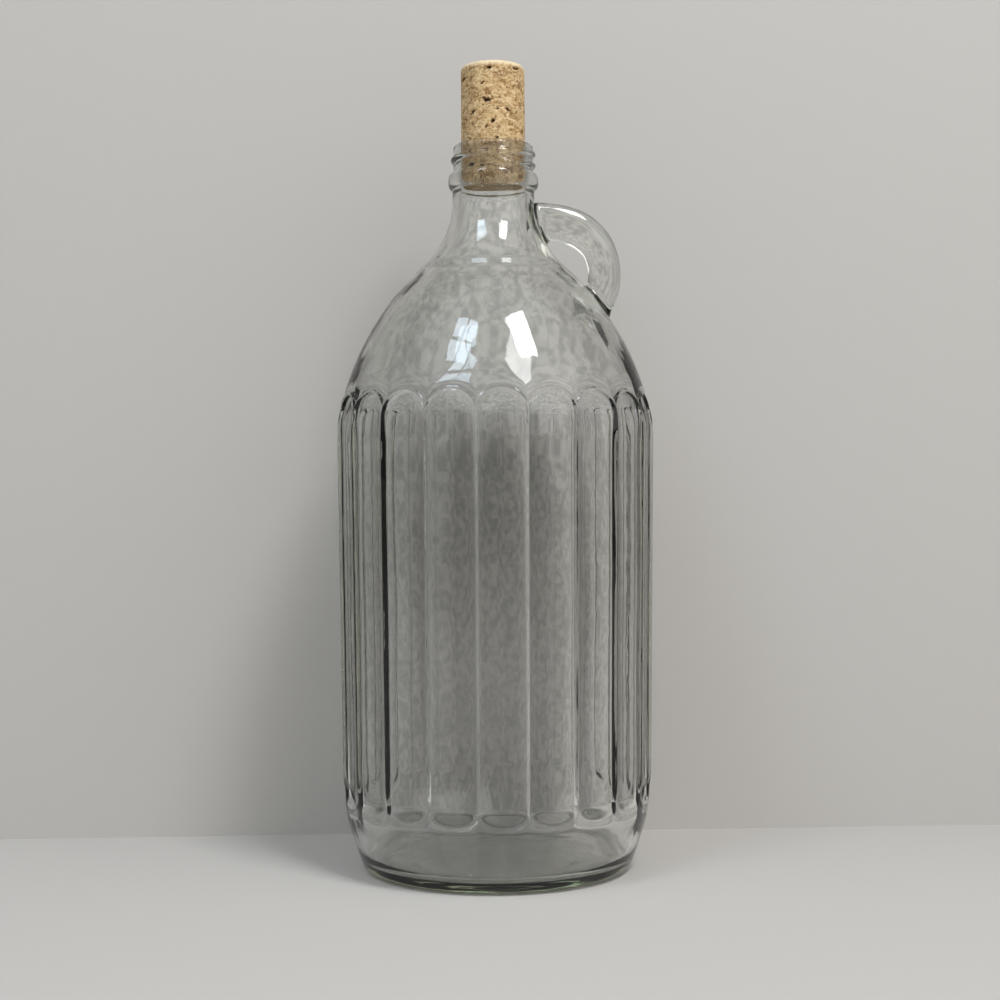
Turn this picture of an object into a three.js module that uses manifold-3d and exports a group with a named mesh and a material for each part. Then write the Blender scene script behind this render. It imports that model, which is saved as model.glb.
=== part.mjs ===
// A stoppered glass jug of about half a US gallon: a round, fluted body with a domed shoulder,
// a one-finger ring handle, a 33 mm screw finish, and a straight wine cork in its bore.
// Millimetres, +Z up. The origin is the centre of the base, on the surface the jug stands on,
// and the handle points along +X.

import * as THREE from "three";
import { mergeVertices } from "three/addons/utils/BufferGeometryUtils.js";
import Module from "manifold-3d";

const wasm = await Module();
wasm.setup();

const deg = THREE.MathUtils.degToRad;

// Base and heel
const PUSH_UP = 4.5; // height of the hollow under the base, on the axis
const PUSH_UP_CREST = 0.6; // how far out, as a share of the bearing ring, it keeps near that height
const BEARING_INNER = 41; // the flat ring that the jug stands on
const BEARING_OUTER = 46.5;
const FLOOR_THICKNESS = 4.3;
const FLOOR_EDGE = 4.7; // height of the inside floor at its edge

// Bezier points [radius, height] of the heel: its tight lower corner, then its swell up to the body
const HEEL_CORNER = [[50.2, 0], [50.4, 2.2], [51.4, 4.6]];
const HEEL_SWELL = [[54.2, 12], [57, 21]];
const CAVITY_HEEL = [[50, 1.6], [50.8, 12]]; // the same inside
const CAVITY_HEEL_TOP = 26;

// Body: the ridges between the flutes lie on a cone that widens a little upwards
const HEEL_TOP = 33;
const HEEL_RADIUS = 57.9;
const BODY_TOP = 160;
const BODY_TOP_RADIUS = 59.4;
const CAVITY_LOW_RADIUS = 53.1;
const CAVITY_TOP_RADIUS = 54.4;
const KINK_REACH = 4; // how far above BODY_TOP the body's line runs on before it bends to the dome

// Shoulder: a convex dome arc that turns into a concave flare under the neck
const NECK_RADIUS = 15.4;
const FLARE_TOP = 251; // where the flare becomes the straight neck
const FLARE_ARC = 35;
const DOME_ARC = 104;
const TURN_OVER = deg(47.5); // slope of the wall where dome and flare meet
const DOME_FOOT = deg(10.5); // slope of the wall at the foot of the dome
const SHOULDER_WALL = 3.8;
const NECK_WALL = 3.1;

// Flutes: shallow hollows side by side, with a parabolic arch at both ends
const FLUTES = 20;
const FLUTE_DEPTH = 2.7; // below the ridges, on a flute's centre line
const ARCH_CUSP = 168.6; // where two neighbouring arches meet
const ARCH_RISE = 7.8;
const FOOT_CUSP = 31;
const FOOT_DROP = 5.3;
const ARCH_RUN_OUT = 10; // length over which a flute reaches its depth below its arch
const FOOT_RUN_OUT = 8;

// Finish: the ring under the thread, the thread and the lip
const FINISH_TOP = 271;
const FINISH_ROOT = 15;
const BEAD_BOTTOM = 254.1;
const BEAD_TOP = 260.4;
const BEAD_RADIUS = 17;
const BEAD_STEPS = 6;
const LIP_ROUND = 1.1;
const THREAD_PITCH = 25.4 / 6;
const THREAD_TURNS = 1.5;
const THREAD_START = 262.1; // height of the thread where it starts, at its middle
const THREAD_START_ANGLE = deg(-96);
const THREAD_SECTION = 1.2; // radius of the round bar that stands proud as the thread
const THREAD_CREST = 15.8;
const THREAD_FADE = 0.06; // share of its length over which either end sinks into the wall
const BORE_RADIUS = 12.3;

// Ring handle
const HANDLE_THICKNESS = 9.6;
const HANDLE_EDGE = 3.7; // radius of its rounded edges
const HANDLE_STEPS = 14;
// Points on the handle's centre line as [x, z, width], from inside the neck to inside the shoulder
const HANDLE_LINE = [
  [9, 242.3, 15],
  [17, 242.3, 14.5],
  [25.5, 241.6, 13.9],
  [33.2, 238.7, 13.4],
  [39, 232.9, 12.5],
  [41.6, 225.2, 12.2],
  [41.3, 217.8, 12.2],
  [39, 210, 10.6],
  [35, 201.5, 10],
];

// Cork
const CORK_RADIUS = 12;
const CORK_LENGTH = 45;
const CORK_INSERTED = 15.1;
const CORK_CHAMFER = 1.2;

// Facets
const BODY_SEGMENTS = 4 * FLUTES;
const CAVITY_SEGMENTS = 40;
const FINISH_SEGMENTS = 40;
const CORK_SEGMENTS = 36;
const EDGE_STEPS = [1, 2.8, 5.2]; // rows of facets inside a flute's edge
const OUTSIDE_FOOT = 2; // the next row outside it, below a foot and above an arch
const OUTSIDE_ARCH = 3;
const HEEL_ROWS = [1.2, 4.6, 10, 16, 21.5]; // heights of the other rows
const STRAIGHT_ROWS = [75, 115, 150, 157];
const SHOULDER_ROWS = [188, 196, 204, 211, 217.5, 223.5, 228.5, 233, 238, 244];
const FOOT_BEND = [10, 75]; // heights between which rows bend to follow the flutes' feet
const ARCH_BEND = [115, 204];
const JOIN = 2; // how far one solid reaches into the next before they are joined
const WELD = 1e-4;

// Makes a manifold-3d solid from a closed geometry. Triangles that shrink to a line, as they do
// where a turned outline touches its axis, are left out.
function toSolid(geometry) {
  const bare = geometry.index ? geometry.toNonIndexed() : geometry.clone();
  bare.deleteAttribute("normal");
  bare.deleteAttribute("uv");
  const welded = mergeVertices(bare, WELD);
  const corners = welded.index.array;
  const kept = [];
  for (let i = 0; i < corners.length; i += 3) {
    const [a, b, c] = corners.slice(i, i + 3);
    if (a !== b && b !== c && c !== a) kept.push(a, b, c);
  }
  return new wasm.Manifold(
    new wasm.Mesh({
      numProp: 3,
      vertProperties: welded.attributes.position.array,
      triVerts: new Uint32Array(kept),
    }),
  );
}

// Brings a manifold-3d solid back as a flat-shaded geometry.
function toGeometry(solid) {
  const mesh = solid.getMesh();
  const indexed = new THREE.BufferGeometry();
  indexed.setAttribute("position", new THREE.BufferAttribute(mesh.vertProperties, 3));
  indexed.setIndex(new THREE.BufferAttribute(mesh.triVerts, 1));
  const geometry = indexed.toNonIndexed();
  geometry.computeVertexNormals();
  return geometry;
}

// Turns an outline of (radius, height) points about the Z axis.
function turned(outline, segments) {
  return new THREE.LatheGeometry(outline, segments).rotateX(Math.PI / 2);
}

// Adds an arc to an outline, about (x, y), from one angle to another in a number of steps.
function addArc(path, x, y, radius, from, to, steps) {
  for (let i = 0; i <= steps; i++) {
    const angle = THREE.MathUtils.lerp(from, to, i / steps);
    path.push(new THREE.Vector2(x + radius * Math.cos(angle), y + radius * Math.sin(angle)));
  }
}

// Adds a Bezier curve of three or four points to an outline, without its first point.
function addBezier(path, points, steps) {
  const ends = points.map(([x, y]) => new THREE.Vector2(x, y));
  const curve =
    ends.length === 4 ? new THREE.CubicBezierCurve(...ends) : new THREE.QuadraticBezierCurve(...ends);
  path.push(...curve.getPoints(steps).slice(1));
}

// The flare's centre lies level with its top, and the dome continues it with the same slope.
const FLARE_CENTRE = new THREE.Vector2(NECK_RADIUS + FLARE_ARC, FLARE_TOP);
const DOME_CENTRE = new THREE.Vector2(
  FLARE_CENTRE.x - (FLARE_ARC + DOME_ARC) * Math.cos(TURN_OVER),
  FLARE_CENTRE.y - (FLARE_ARC + DOME_ARC) * Math.sin(TURN_OVER),
);

// Outline of the shoulder from the foot of the dome to the neck, a wall's thickness inside the
// outer surface, or on it where both walls are 0.
function addShoulder(path, domeWall, neckWall, domeSteps, flareSteps) {
  addArc(path, DOME_CENTRE.x, DOME_CENTRE.y, DOME_ARC - domeWall, DOME_FOOT, TURN_OVER, domeSteps);
  const flareFrom = Math.PI + TURN_OVER;
  addArc(path, FLARE_CENTRE.x, FLARE_CENTRE.y, FLARE_ARC + neckWall, flareFrom, Math.PI, flareSteps);
}

// Outline of the body from the bearing ring to the underside of the bead, without its flutes.
function bodyOutline() {
  const path = [new THREE.Vector2(BEARING_OUTER, 0)];
  addBezier(path, [[BEARING_OUTER, 0], ...HEEL_CORNER], 8);
  addBezier(path, [HEEL_CORNER.at(-1), ...HEEL_SWELL, [HEEL_RADIUS, HEEL_TOP]], 16);
  path.push(new THREE.Vector2(BODY_TOP_RADIUS, BODY_TOP));
  const domeFootX = DOME_CENTRE.x + DOME_ARC * Math.cos(DOME_FOOT);
  const domeFootZ = DOME_CENTRE.y + DOME_ARC * Math.sin(DOME_FOOT);
  const kink = [BODY_TOP_RADIUS, BODY_TOP + KINK_REACH];
  addBezier(path, [[BODY_TOP_RADIUS, BODY_TOP], kink, [domeFootX, domeFootZ]], 6);
  path.pop(); // the dome's own first point comes next
  addShoulder(path, 0, 0, 40, 30);
  path.push(new THREE.Vector2(NECK_RADIUS, BEAD_BOTTOM + 0.1 * JOIN));
  return path;
}

// Radius of an outline at a height. Its heights rise all the way.
function radiusAt(outline, z) {
  const above = Math.max(1, outline.findIndex((p) => p.y >= z));
  const [low, high] = [outline[above - 1], outline[above]];
  return THREE.MathUtils.mapLinear(z, low.y, high.y, low.x, high.x);
}

// How far a point is from the centre line of its flute: 0 on it, 1 or -1 on a ridge.
function acrossFlute(angle) {
  const turns = (angle * FLUTES) / (2 * Math.PI);
  return 2 * (turns - Math.round(turns));
}

// Share of a flute's depth at a distance inside its edge: a hollow that starts with a crisp step.
function runOut(inside, length) {
  const t = THREE.MathUtils.clamp(inside / length, 0, 1);
  return 1 - (1 - t) ** 2;
}

// Value at z of a line through [z, value] points, held level beyond its ends.
function share(points, z) {
  if (z <= points[0][0]) return points[0][1];
  const next = points.findIndex(([at]) => at >= z);
  if (next < 0) return points.at(-1)[1];
  const [[fromZ, from], [toZ, to]] = [points[next - 1], points[next]];
  return THREE.MathUtils.mapLinear(z, fromZ, toZ, from, to);
}

// The filled body with its flutes, up to the underside of the bead. It is turned first. Then its
// rows are bent so that one row follows each edge of the flutes, and the flutes are pressed in.
function flutedBody() {
  const archRow = ARCH_CUSP + ARCH_RISE / 2;
  const footRow = FOOT_CUSP - FOOT_DROP / 2;
  const heights = [
    ...HEEL_ROWS,
    ...[footRow - OUTSIDE_FOOT, footRow, ...EDGE_STEPS.map((step) => footRow + step)],
    ...[footRow + FOOT_RUN_OUT, ...STRAIGHT_ROWS, archRow - ARCH_RUN_OUT],
    ...[...EDGE_STEPS.map((step) => archRow - step).reverse(), archRow, archRow + OUTSIDE_ARCH],
    ...[...SHOULDER_ROWS, FLARE_TOP],
  ];
  const outline = bodyOutline();
  const path = [new THREE.Vector2(0, PUSH_UP)];
  addBezier(path, [[0, PUSH_UP], [BEARING_INNER * PUSH_UP_CREST, PUSH_UP], [BEARING_INNER, 0]], 5);
  path.push(outline[0], ...heights.map((z) => new THREE.Vector2(radiusAt(outline, z), z)));
  path.push(outline.at(-1), new THREE.Vector2(0, outline.at(-1).y));
  const body = turned(path, BODY_SEGMENTS);

  const place = body.getAttribute("position");
  const [archFrom, archTo] = ARCH_BEND;
  const [footFrom, footTo] = FOOT_BEND;
  const bendTop = [[archFrom, 0], [archRow - ARCH_RUN_OUT, 1], [archRow + OUTSIDE_ARCH, 1], [archTo, 0]];
  const bendFoot = [[footFrom, 0], [footRow - OUTSIDE_FOOT, 1], [footRow + FOOT_RUN_OUT, 1], [footTo, 0]];
  for (let i = 0; i < place.count; i++) {
    const z = place.getZ(i);
    const radius = Math.hypot(place.getX(i), place.getY(i));
    if (z <= footFrom || z >= archTo) continue;
    const angle = Math.atan2(place.getY(i), place.getX(i));
    const inward = 1 - acrossFlute(angle) ** 2;
    const arch = ARCH_CUSP + ARCH_RISE * inward;
    const foot = FOOT_CUSP - FOOT_DROP * inward;
    const bent = z + share(bendTop, z) * (arch - archRow) + share(bendFoot, z) * (foot - footRow);
    const depth = FLUTE_DEPTH * inward * runOut(arch - bent, ARCH_RUN_OUT) * runOut(bent - foot, FOOT_RUN_OUT);
    const scale = (radiusAt(outline, bent) - depth) / radius;
    place.setXYZ(i, place.getX(i) * scale, place.getY(i) * scale, bent);
  }
  return toSolid(body);
}

// The finish, filled: it starts inside the top of the neck.
function finishBlank() {
  const foot = BEAD_BOTTOM - JOIN;
  const path = [new THREE.Vector2(0, foot), new THREE.Vector2(FINISH_ROOT, foot)];
  path.push(new THREE.Vector2(FINISH_ROOT, BEAD_BOTTOM));
  const middle = (BEAD_BOTTOM + BEAD_TOP) / 2;
  const proud = BEAD_RADIUS - FINISH_ROOT;
  for (let i = 1; i < BEAD_STEPS; i++) {
    const angle = Math.PI * (i / BEAD_STEPS - 0.5);
    const z = middle + (Math.sin(angle) * (BEAD_TOP - BEAD_BOTTOM)) / 2;
    path.push(new THREE.Vector2(FINISH_ROOT + proud * Math.cos(angle), z));
  }
  path.push(new THREE.Vector2(FINISH_ROOT, BEAD_TOP));
  addArc(path, FINISH_ROOT - LIP_ROUND, FINISH_TOP - LIP_ROUND, LIP_ROUND, 0, Math.PI / 2, 3);
  path.push(new THREE.Vector2(0, FINISH_TOP));
  return toSolid(turned(path, FINISH_SEGMENTS));
}

// The thread's own axis: a right-hand helix whose ends sink into the wall.
class ThreadHelix extends THREE.Curve {
  getPoint(t, target = new THREE.Vector3()) {
    const angle = THREAD_START_ANGLE + t * THREAD_TURNS * 2 * Math.PI;
    const sunk = Math.max(0, 1 - Math.min(t, 1 - t) / THREAD_FADE);
    const radius = THREAD_CREST - THREAD_SECTION - sunk * THREAD_SECTION;
    const z = THREAD_START + t * THREAD_TURNS * THREAD_PITCH;
    return target.set(radius * Math.cos(angle), radius * Math.sin(angle), z);
  }
}

function thread() {
  const section = new THREE.Shape().absarc(0, 0, THREAD_SECTION, 0, 2 * Math.PI);
  const steps = Math.round(THREAD_TURNS * FINISH_SEGMENTS);
  return toSolid(
    new THREE.ExtrudeGeometry(section, { extrudePath: new ThreadHelix(), steps, curveSegments: 6 }),
  );
}

// The ring handle: a strap of glass that follows its centre line from the neck to the shoulder and
// reaches into the wall at both roots. Its flat faces are drawn first and its edges bulge from them.
function handle() {
  const line = new THREE.SplineCurve(HANDLE_LINE.map(([x, z]) => new THREE.Vector2(x, z)));
  const widths = new THREE.SplineCurve(HANDLE_LINE.map(([, , w], i) => new THREE.Vector2(i, w)));
  const outerSide = [];
  const holeSide = [];
  for (let i = 0; i <= HANDLE_STEPS; i++) {
    const t = i / HANDLE_STEPS;
    const middle = line.getPoint(t);
    const along = line.getTangent(t);
    const reach = widths.getPoint(t).y / 2 - HANDLE_EDGE;
    const outward = new THREE.Vector2(-along.y, along.x).multiplyScalar(reach);
    outerSide.push(middle.clone().add(outward));
    holeSide.unshift(middle.clone().sub(outward));
  }
  const strap = new THREE.ExtrudeGeometry(new THREE.Shape([...outerSide, ...holeSide]), {
    depth: HANDLE_THICKNESS - 2 * HANDLE_EDGE,
    bevelThickness: HANDLE_EDGE,
    bevelSize: HANDLE_EDGE,
    bevelSegments: 3,
  });
  return toSolid(strap.translate(0, 0, HANDLE_EDGE - HANDLE_THICKNESS / 2).rotateX(Math.PI / 2));
}

// The hollow that holds the drink, with the bore of the neck and finish.
function cavity() {
  const floor = PUSH_UP + FLOOR_THICKNESS;
  const path = [new THREE.Vector2(0, floor)];
  const edge = [BEARING_INNER, FLOOR_EDGE];
  addBezier(path, [[0, floor], [BEARING_INNER * PUSH_UP_CREST, floor], edge], 4);
  addBezier(path, [edge, ...CAVITY_HEEL, [CAVITY_LOW_RADIUS, CAVITY_HEEL_TOP]], 6);
  path.push(new THREE.Vector2(CAVITY_TOP_RADIUS, BODY_TOP));
  addShoulder(path, SHOULDER_WALL, NECK_WALL, 6, 5);
  path.push(new THREE.Vector2(BORE_RADIUS, FINISH_TOP + JOIN), new THREE.Vector2(0, FINISH_TOP + JOIN));
  return toSolid(turned(path, CAVITY_SEGMENTS));
}

function glassJug() {
  return toGeometry(flutedBody().add(finishBlank()).add(thread()).add(handle()).subtract(cavity()));
}

// A straight cork with a small chamfer at both ends, standing on its lower end.
function corkStopper() {
  const outline = [
    [0, 0],
    [CORK_RADIUS - CORK_CHAMFER, 0],
    [CORK_RADIUS, CORK_CHAMFER],
    [CORK_RADIUS, CORK_LENGTH - CORK_CHAMFER],
    [CORK_RADIUS - CORK_CHAMFER, CORK_LENGTH],
    [0, CORK_LENGTH],
  ];
  return turned(outline.map(([x, z]) => new THREE.Vector2(x, z)), CORK_SEGMENTS);
}

const glass = new THREE.MeshStandardMaterial({
  color: 0xb7c6bd,
  roughness: 0.05,
  metalness: 0,
  transparent: true,
  opacity: 0.4,
});
const cork = new THREE.MeshStandardMaterial({ color: 0xc8a06a, roughness: 0.85, metalness: 0 });

const jugMesh = new THREE.Mesh(glassJug(), glass);
jugMesh.name = "glass_jug";

const corkMesh = new THREE.Mesh(corkStopper(), cork);
corkMesh.name = "cork_stopper";
corkMesh.position.z = FINISH_TOP - CORK_INSERTED;

const group = new THREE.Group();
group.name = "stoppered_glass_jug";
group.add(jugMesh, corkMesh);

export default group;
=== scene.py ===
"""The looks of a corked glass jug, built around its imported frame.

The jug is one piece of moulded glass: a round body with shallow flutes, a domed shoulder, a ring
handle, a short neck and a screw finish. A straight cork of pressed granules closes its mouth.
Objects are in metres, +Z up, with the origin at the centre of the base and the handle towards +X.
The jug's and the cork's sizes are in millimetres, which MM turns into metres where a mesh is made.
"""

import logging
import math
from dataclasses import dataclass
from enum import Enum
from typing import Optional

import bpy
import numpy as np
from mathutils import Matrix, Vector
from numpy.typing import NDArray

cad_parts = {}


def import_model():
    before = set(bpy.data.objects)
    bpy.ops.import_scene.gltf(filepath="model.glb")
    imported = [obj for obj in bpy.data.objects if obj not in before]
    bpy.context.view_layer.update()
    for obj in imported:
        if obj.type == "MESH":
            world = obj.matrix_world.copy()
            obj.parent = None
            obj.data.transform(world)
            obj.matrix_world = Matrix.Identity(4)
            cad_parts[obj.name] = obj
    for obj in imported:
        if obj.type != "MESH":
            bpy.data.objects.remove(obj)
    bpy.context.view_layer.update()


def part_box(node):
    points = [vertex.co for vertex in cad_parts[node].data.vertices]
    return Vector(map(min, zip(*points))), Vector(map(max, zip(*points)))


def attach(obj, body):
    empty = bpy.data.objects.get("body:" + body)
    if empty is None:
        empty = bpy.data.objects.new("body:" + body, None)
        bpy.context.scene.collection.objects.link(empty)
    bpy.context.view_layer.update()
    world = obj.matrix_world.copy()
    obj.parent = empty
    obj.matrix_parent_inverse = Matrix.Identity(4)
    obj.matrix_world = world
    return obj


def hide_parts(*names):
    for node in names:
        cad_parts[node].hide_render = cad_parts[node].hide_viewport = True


MM = 0.001
TURN = 2.0 * math.pi

Array = NDArray[np.float64]
Point = tuple[float, float]
Colour = tuple[float, float, float]
Object, Material, Socket = bpy.types.Object, bpy.types.Material, bpy.types.NodeSocket
log = logging.getLogger("corked_jug")


# ---- Shapes as arrays ----


def smooth_step(low: float, high: float, value: Array) -> Array:
    """Goes from 0 at low to 1 at high along 3t^2 - 2t^3, and stays level outside."""
    t = np.clip((value - low) / (high - low), 0.0, 1.0)
    return t * t * (3.0 - 2.0 * t)


def soft_positive(value: Array, width: float) -> Array:
    """The positive part of a value with its corner rounded: (v + sqrt(v^2 + w^2)) / 2."""
    return 0.5 * (value + np.sqrt(value**2 + width**2))


def bezier(points: list[Point], steps: int) -> Array:
    """Points on a Bezier curve, without its first one.

    Args:
        points: Its three or four control points, each (radius, height).
        steps: How many points to return.

    Returns:
        An array of shape (steps, 2), from the Bernstein sum of the control points.
    """
    t = np.linspace(0.0, 1.0, steps + 1)[1:, None]
    order = len(points) - 1
    total = np.zeros((steps, 2))
    for i, point in enumerate(points):
        total += math.comb(order, i) * t**i * (1.0 - t) ** (order - i) * np.array(point)
    return total


def arc(centre: Point, radius: float, start: float, end: float, steps: int) -> Array:
    """Points on a circle from one angle to another, both ends included, as (radius, height).

    Args:
        centre: The circle's centre.
        radius: Its radius.
        start: The first point's angle, in radians.
        end: The last point's angle.
        steps: How many points to return.

    Returns:
        An array of shape (steps, 2).
    """
    angle = np.linspace(start, end, steps)
    across, up = centre[0] + radius * np.cos(angle), centre[1] + radius * np.sin(angle)
    return np.stack([across, up], axis=1)


def catmull_rom(points: Array, steps: int) -> Array:
    """A smooth curve through points, as a uniform Catmull-Rom spline.

    Args:
        points: The points to pass through, of shape (n, k).
        steps: Number of points returned.

    Returns:
        Points of shape (steps, k), evenly spaced in the spline's own parameter.
    """
    padded = np.vstack([2 * points[0] - points[1], points, 2 * points[-1] - points[-2]])
    place = np.linspace(0.0, len(points) - 1.0, steps)
    span = np.minimum(place.astype(int), len(points) - 2)
    t = (place - span)[:, None]
    p0, p1, p2, p3 = (padded[span + k] for k in range(4))
    return 0.5 * (2 * p1 + (p2 - p0) * t + (2 * p0 - 5 * p1 + 4 * p2 - p3) * t**2
                  + (3 * p1 - p0 - 3 * p2 + p3) * t**3)


def linked(name: str, data: bpy.types.ID) -> Object:
    """A new object that holds the data, linked to the scene.

    Args:
        name: The object's name.
        data: Its mesh, lamp or camera.

    Returns:
        The new object.
    """
    made = bpy.data.objects.new(name, data)
    bpy.context.scene.collection.objects.link(made)
    return made


def closed_mesh(name: str, rings: Array, first: Array, last: Array) -> Object:
    """A closed surface from rings that each close on themselves, with a point at either end.

    Ring i joins ring i + 1 by quads, and the end rings join their point by triangles. With rings
    that turn anticlockwise about the direction they go in, the faces point outwards.

    Args:
        name: Name of the new object.
        rings: Points of shape (rings, columns, 3), in metres.
        first: The point that closes the first ring.
        last: The point that closes the last ring.

    Returns:
        The new, smooth-shaded object, linked to the scene.
    """
    count, columns, _ = rings.shape
    corner = np.arange(count * columns).reshape(count, columns)
    beside = np.roll(corner, -1, axis=1)
    quads = np.stack([corner[:-1], beside[:-1], beside[1:], corner[1:]], axis=-1).reshape(-1, 4)
    start, end = count * columns, count * columns + 1
    head = np.stack([np.full(columns, start), beside[0], corner[0]], axis=-1)
    tail = np.stack([np.full(columns, end), corner[-1], beside[-1]], axis=-1)
    mesh = bpy.data.meshes.new(name)
    points = np.vstack([rings.reshape(-1, 3), first[None], last[None]])
    mesh.from_pydata(points.tolist(), [], quads.tolist() + head.tolist() + tail.tolist())
    mesh.polygons.foreach_set("use_smooth", np.ones(len(mesh.polygons), dtype=bool))
    mesh.update()
    return linked(name, mesh)


# ---- Shader building ----


class Nodes:
    """A short way to add nodes to a tree and join them."""

    def __init__(self, tree: bpy.types.NodeTree) -> None:
        """Takes the tree that the nodes go in."""
        self.tree = tree

    def add(self, kind: str, inputs: Optional[dict[str, object]] = None,
            **settings: object) -> bpy.types.Node:
        """Adds a node.

        Args:
            kind: Blender's type name of the node.
            inputs: Socket name to a value or to the output socket that feeds it.
            settings: The node's own properties.

        Returns:
            The new node.
        """
        node = self.tree.nodes.new(kind)
        for key, value in settings.items():
            setattr(node, key, value)
        for key, value in (inputs or {}).items():
            self.feed(node.inputs[key], value)
        return node

    def feed(self, socket: Socket, value: object) -> None:
        """Links value to the socket if it is an output, and sets it as the socket's value if not.

        Args:
            socket: The input to feed.
            value: An output socket or a plain value.
        """
        if isinstance(value, Socket):
            self.tree.links.new(value, socket)
        else:
            socket.default_value = value

    def math(self, operation: str, *values: object) -> Socket:
        """The result of a Math node on the values given.

        Args:
            operation: Blender's name of the operation.
            values: What feeds its inputs, in order.

        Returns:
            The node's output.
        """
        node = self.tree.nodes.new("ShaderNodeMath")
        node.operation = operation
        for socket, value in zip(node.inputs, values):
            self.feed(socket, value)
        return node.outputs[0]

    def ramp(self, factor: Socket,
             stops: tuple[tuple[float, Colour], ...]) -> Socket:
        """A colour ramp on a factor, with stops of (position, colour).

        Args:
            factor: The output that feeds the ramp.
            stops: Its stops, from the lowest position up.

        Returns:
            The ramp's colour.
        """
        node = self.tree.nodes.new("ShaderNodeValToRGB")
        elements = node.color_ramp.elements
        while len(elements) < len(stops):
            elements.new(0.5)
        for element, (position, colour) in zip(elements, stops):
            element.position = position
            element.color = (*colour, 1.0)
        self.feed(node.inputs["Fac"], factor)
        return node.outputs["Color"]

    def mix(self, factor: object, first: object, second: object) -> Socket:
        """A colour mix of first and second by factor, which are the node's colour sockets.

        Args:
            factor: 0 for all of first and 1 for all of second.
            first: A colour or an output.
            second: A colour or an output.

        Returns:
            The mixed colour.
        """
        node = self.add("ShaderNodeMix", data_type="RGBA")
        for socket, value in zip((0, 6, 7), (factor, first, second)):
            self.feed(node.inputs[socket], value)
        return node.outputs[2]


def new_material(name: str) -> tuple[Material, Nodes, bpy.types.Node, bpy.types.Node]:
    """An empty node material.

    Args:
        name: The material's name.

    Returns:
        The material, its node helper, its Principled shader and its output node.
    """
    material = bpy.data.materials.new(name)
    material.use_nodes = True
    material.node_tree.nodes.clear()
    nodes = Nodes(material.node_tree)
    shader = nodes.add("ShaderNodeBsdfPrincipled")
    output = nodes.add("ShaderNodeOutputMaterial", {"Surface": shader.outputs["BSDF"]})
    return material, nodes, shader, output


def relief_group() -> bpy.types.NodeTree:
    """A group that gives the height of fine relief: slow waves and, on top, small grain.

    Its inputs are Wave Scale, Grain Scale and Grain Share, and its outputs are Height, for a Bump
    node, and Mottle, a slow mask from 0 to 1. Both read Object coordinates.

    Returns:
        The new node group.
    """
    tree = bpy.data.node_groups.new("fine_relief", "ShaderNodeTree")
    for name, value in (("Wave Scale", 60.0), ("Grain Scale", 900.0), ("Grain Share", 0.2)):
        socket = tree.interface.new_socket(name, in_out="INPUT", socket_type="NodeSocketFloat")
        socket.default_value = value
    for name in ("Height", "Mottle"):
        tree.interface.new_socket(name, in_out="OUTPUT", socket_type="NodeSocketFloat")
    nodes = Nodes(tree)
    given = nodes.add("NodeGroupInput")
    result = nodes.add("NodeGroupOutput")
    place = nodes.add("ShaderNodeTexCoord").outputs["Object"]
    waves = nodes.add("ShaderNodeTexNoise", {
        "Vector": place, "Scale": given.outputs["Wave Scale"], "Detail": 2.0, "Roughness": 0.45})
    grain = nodes.add("ShaderNodeTexNoise", {
        "Vector": place, "Scale": given.outputs["Grain Scale"], "Detail": 3.0, "Roughness": 0.6})
    fine = nodes.math("MULTIPLY", grain.outputs["Fac"], given.outputs["Grain Share"])
    nodes.feed(result.inputs["Height"], nodes.math("ADD", waves.outputs["Fac"], fine))
    nodes.feed(result.inputs["Mottle"], waves.outputs["Fac"])
    return tree


@dataclass(frozen=True)
class GlassFinish:
    """Clear soda-lime glass with a faint grey-green body colour and a gently uneven surface."""

    refraction: float = 1.52
    roughness: float = 0.012
    absorbed: Colour = (0.77, 0.85, 0.58)
    density: float = 15.0
    wave_scale: float = 75.0
    grain_scale: float = 260.0
    grain_share: float = 0.10
    wave_height: float = 0.00012

    def build(self, relief: bpy.types.NodeTree) -> Material:
        """The glass material, with its body colour as absorption inside the walls.

        Args:
            relief: The group that gives the height of fine relief.

        Returns:
            The new material.
        """
        material, nodes, shader, output = new_material("clear_glass")
        shader.inputs["Base Color"].default_value = (1.0, 1.0, 1.0, 1.0)
        shader.inputs["Metallic"].default_value = 0.0
        shader.inputs["Transmission Weight"].default_value = 1.0
        shader.inputs["Roughness"].default_value = self.roughness
        shader.inputs["IOR"].default_value = self.refraction
        uneven = nodes.add("ShaderNodeGroup", {
            "Wave Scale": self.wave_scale, "Grain Scale": self.grain_scale,
            "Grain Share": self.grain_share}, node_tree=relief)
        bump = nodes.add("ShaderNodeBump", {
            "Height": uneven.outputs["Height"], "Strength": 1.0, "Distance": self.wave_height})
        nodes.feed(shader.inputs["Normal"], bump.outputs["Normal"])
        body = nodes.add("ShaderNodeVolumeAbsorption", {
            "Color": (*self.absorbed, 1.0), "Density": self.density})
        nodes.feed(output.inputs["Volume"], body.outputs["Volume"])
        return material


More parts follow.
